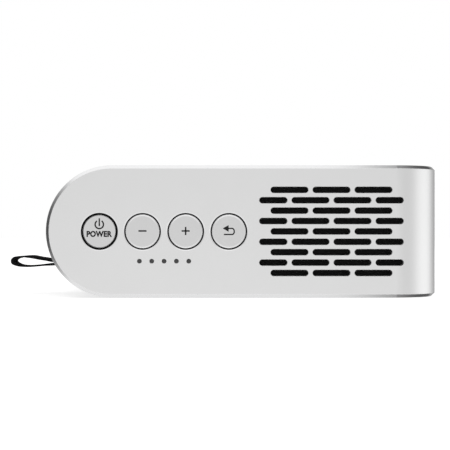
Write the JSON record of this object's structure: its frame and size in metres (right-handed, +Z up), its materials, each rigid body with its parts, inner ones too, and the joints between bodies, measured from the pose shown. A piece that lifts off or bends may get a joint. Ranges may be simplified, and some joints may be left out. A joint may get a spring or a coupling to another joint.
{
  "type": "pocket projector",
  "caption": "Pocket LED projector: flat body with a D-shaped rear in a swinging metal stand that covers the lens, with side buttons, a slot grille and a pull loop.",
  "frame": {"origin": "on the surface that the feet stand on, under the middle of the whole object with its pull loop", "axes": "+X to the front, where the lens looks; +Y to the left side seen from behind, away from the buttons; +Z up"},
  "size_m": [0.1446, 0.146, 0.0434],
  "materials": {
    "stand_metal": "fine satin silver, polished chamfers",
    "button_metal": "satin silver with bright bevels",
    "steel": "plain machined or stamped steel",
    "copper": "bare copper",
    "brass": "turned brass",
    "sink_metal": "thin bare fins",
    "body_plastic": "fine matt texture, near black",
    "inner_plastic": "plain black moulding",
    "ring_plastic": "black",
    "panel_gloss": "glossy black",
    "trim_metal": "polished thin ring",
    "tinted_window": "dark red tinted",
    "light_pipe": "smoky, unlit",
    "led_chip": "pale",
    "board_green": "solder mask",
    "rubber": "matt black",
    "felt": "short black nap",
    "grille_fabric": "black acoustic cloth",
    "mesh_metal": "fine black perforated sheet",
    "strap_weave": "black woven ribbon",
    "lens_glass": "coated glass, blue-violet",
    "lens_black": "black anodised",
    "battery_wrap": "shrink wrap",
    "speaker_box": "moulded box",
    "socket_shell": "tinned sockets",
    "jack_plastic": "black jack body"
  },
  "bodies": {
    "body": {"hinge_bushes": "inner_plastic", "friction_washers": "inner_plastic", "bottom_cover": "body_plastic", "top_cover": "body_plastic", "front_panel": "panel_gloss", "lens_trim_ring": "trim_metal", "remote_window": "tinted_window", "rubber_feet": "rubber", "tripod_insert": "brass", "body_screws": "steel", "speaker_mesh": "mesh_metal", "near_speaker": "speaker_box", "far_speaker": "speaker_box", "lens_sleeve": "lens_black", "optical_engine": "inner_plastic", "red_led_module": "board_green", "blue_led_module": "board_green", "green_led_module": "board_green", "imager_board": "board_green", "heat_spreader": "copper", "heat_pipe": "copper", "heat_sink": "sink_metal", "fan_housing": "inner_plastic", "main_board": "board_green", "cable_socket": "inner_plastic", "battery_pack": "battery_wrap", "port_panel": "inner_plastic", "port_cover_anchor": "rubber", "power_jack": "jack_plastic", "hdmi_port": "socket_shell", "usb_a_port": "socket_shell", "usb_c_port": "socket_shell", "audio_jack": "jack_plastic", "card_slot": "socket_shell"},
    "stand": {"stand_frame": "stand_metal", "near_arm_plate": "inner_plastic", "far_arm_plate": "inner_plastic", "arm_plate_screws": "steel", "near_pivot_hub": "steel", "far_pivot_hub": "steel", "retaining_rings": "steel", "grille_cloth": "grille_fabric", "keypad_board": "board_green", "dome_switches": "steel", "power_button_ring": "ring_plastic", "battery_light_pipes": "light_pipe", "indicator_leds": "led_chip", "keypad_cable": "inner_plastic", "crossbar_liner": "inner_plastic", "lens_pad": "felt"},
    "power_button": {"power_button": "button_metal"},
    "minus_button": {"minus_button": "button_metal"},
    "plus_button": {"plus_button": "button_metal"},
    "back_button": {"back_button": "button_metal"},
    "focus_ring": {"focus_ring": "lens_black"},
    "lens_barrel": {"lens_barrel": "lens_black", "lens_elements": "lens_glass"},
    "fan": {"fan_impeller": "inner_plastic"},
    "port_flap": {"port_cover": "rubber", "pull_strap": "strap_weave"}
  },
  "joints": [
    {"name": "stand_swing", "type": "hinge", "parent": "body", "child": "stand", "pos_m": [-0.03485, 0, 0.0219], "axis": [0, 1, 0], "range_deg": [0, 330]},
    {"name": "power_press", "type": "slide", "parent": "stand", "child": "power_button", "axis": [0, 1, 0], "range_m": [0, 0.0004], "stiffness_N_per_m": 3000, "springref_m": -0.0001},
    {"name": "minus_press", "type": "slide", "parent": "stand", "child": "minus_button", "axis": [0, 1, 0], "range_m": [0, 0.0004], "stiffness_N_per_m": 3000, "springref_m": -0.0001},
    {"name": "plus_press", "type": "slide", "parent": "stand", "child": "plus_button", "axis": [0, 1, 0], "range_m": [0, 0.0004], "stiffness_N_per_m": 3000, "springref_m": -0.0001},
    {"name": "back_press", "type": "slide", "parent": "stand", "child": "back_button", "axis": [0, 1, 0], "range_m": [0, 0.0004], "stiffness_N_per_m": 3000, "springref_m": -0.0001},
    {"name": "focus_turn", "type": "hinge", "parent": "body", "child": "focus_ring", "pos_m": [0.04765, -0.024, 0.0249], "axis": [1, 0, 0], "range_deg": [0, 120]},
    {"name": "lens_slide", "type": "slide", "parent": "body", "child": "lens_barrel", "axis": [1, 0, 0], "range_m": [0, 0.0025]},
    {"name": "port_flap_hinge", "type": "hinge", "parent": "body", "child": "port_flap", "pos_m": [-0.05289, 0, 0.03109], "axis": [0, 1, 0], "range_deg": [0, 110]},
    {"name": "fan_spin", "type": "hinge", "parent": "body", "child": "fan", "pos_m": [0.05515, 0.0265, 0.02095], "axis": [1, 0, 0], "continuous": true}
  ],
  "couplings": [
    {"joint": "lens_slide", "follows": "focus_turn", "m_per_rad": 0.0011937}
  ]
}
